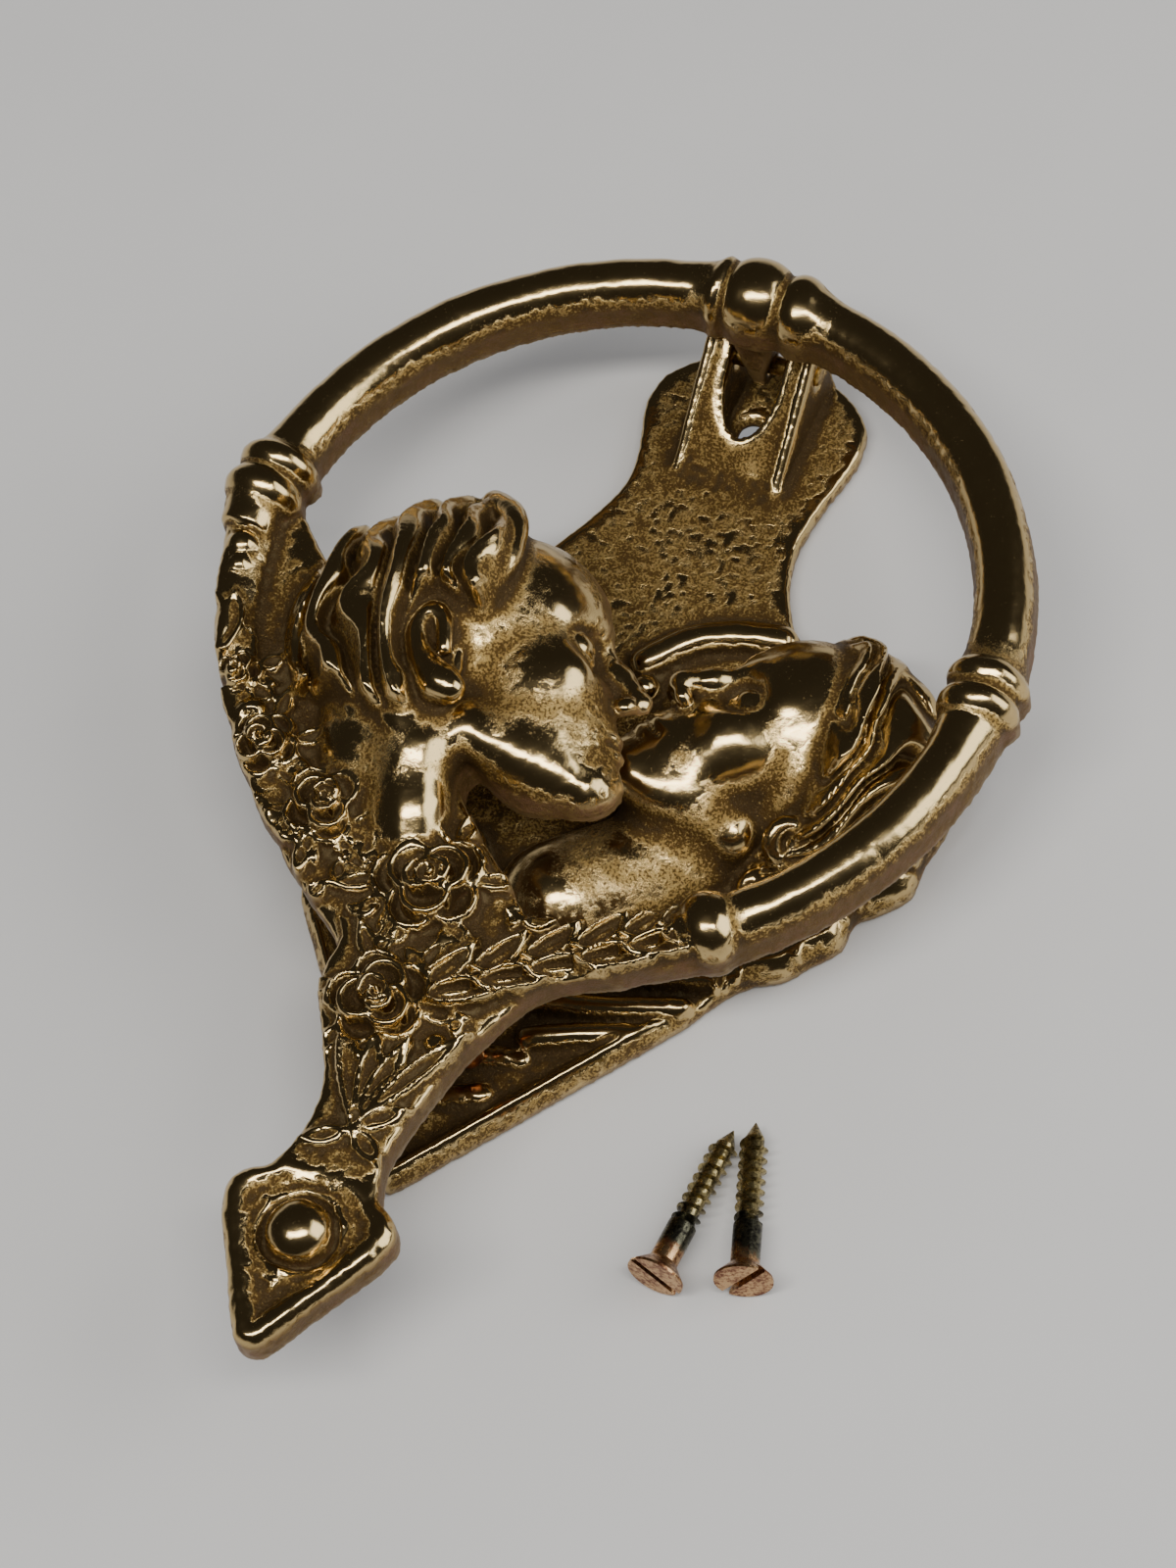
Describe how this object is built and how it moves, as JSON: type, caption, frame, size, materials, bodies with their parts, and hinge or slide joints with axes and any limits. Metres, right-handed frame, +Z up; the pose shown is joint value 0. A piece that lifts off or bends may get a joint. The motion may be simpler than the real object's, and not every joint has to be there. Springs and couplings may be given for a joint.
{
  "type": "door knocker",
  "caption": "Cast-brass ring door knocker: a hinged ring with a man's bust and a rose garland swings on a shield backplate with a woman's bust.",
  "frame": {"origin": "the ring's centre on the backplate's back face, which is the door's surface, midway between the two screw holes", "axes": "+X to the right as a visitor sees the door, +Z up the door, -Y out of the door towards the visitor"},
  "size_m": [0.1265, 0.0389, 0.1868],
  "materials": {
    "cast_brass": "aged, polished on the high parts",
    "pin_brass": "aged",
    "copper_stud": "worn, copper coloured",
    "screw_brass": "dull, copper-tinted head"
  },
  "bodies": {
    "plate": {"backplate": "cast_brass", "hinge_pin": "pin_brass"},
    "ring": {"knocker_ring": "cast_brass", "striker_stud": "copper_stud"},
    "screw_left": {"wood_screw_left": "screw_brass"},
    "screw_right": {"wood_screw_right": "screw_brass"}
  },
  "joints": [
    {"name": "ring_hinge", "type": "hinge", "parent": "plate", "child": "ring", "pos_m": [0, -0.0105, 0.056], "axis": [-1, 0, 0], "range_deg": [0, 100]},
    {"name": "screw_left_lift", "type": "slide", "parent": "plate", "child": "screw_left", "axis": [0, -1, 0], "range_m": [0, 0.03]},
    {"name": "screw_right_lift", "type": "slide", "parent": "plate", "child": "screw_right", "axis": [0, -1, 0], "range_m": [0, 0.03]}
  ]
}
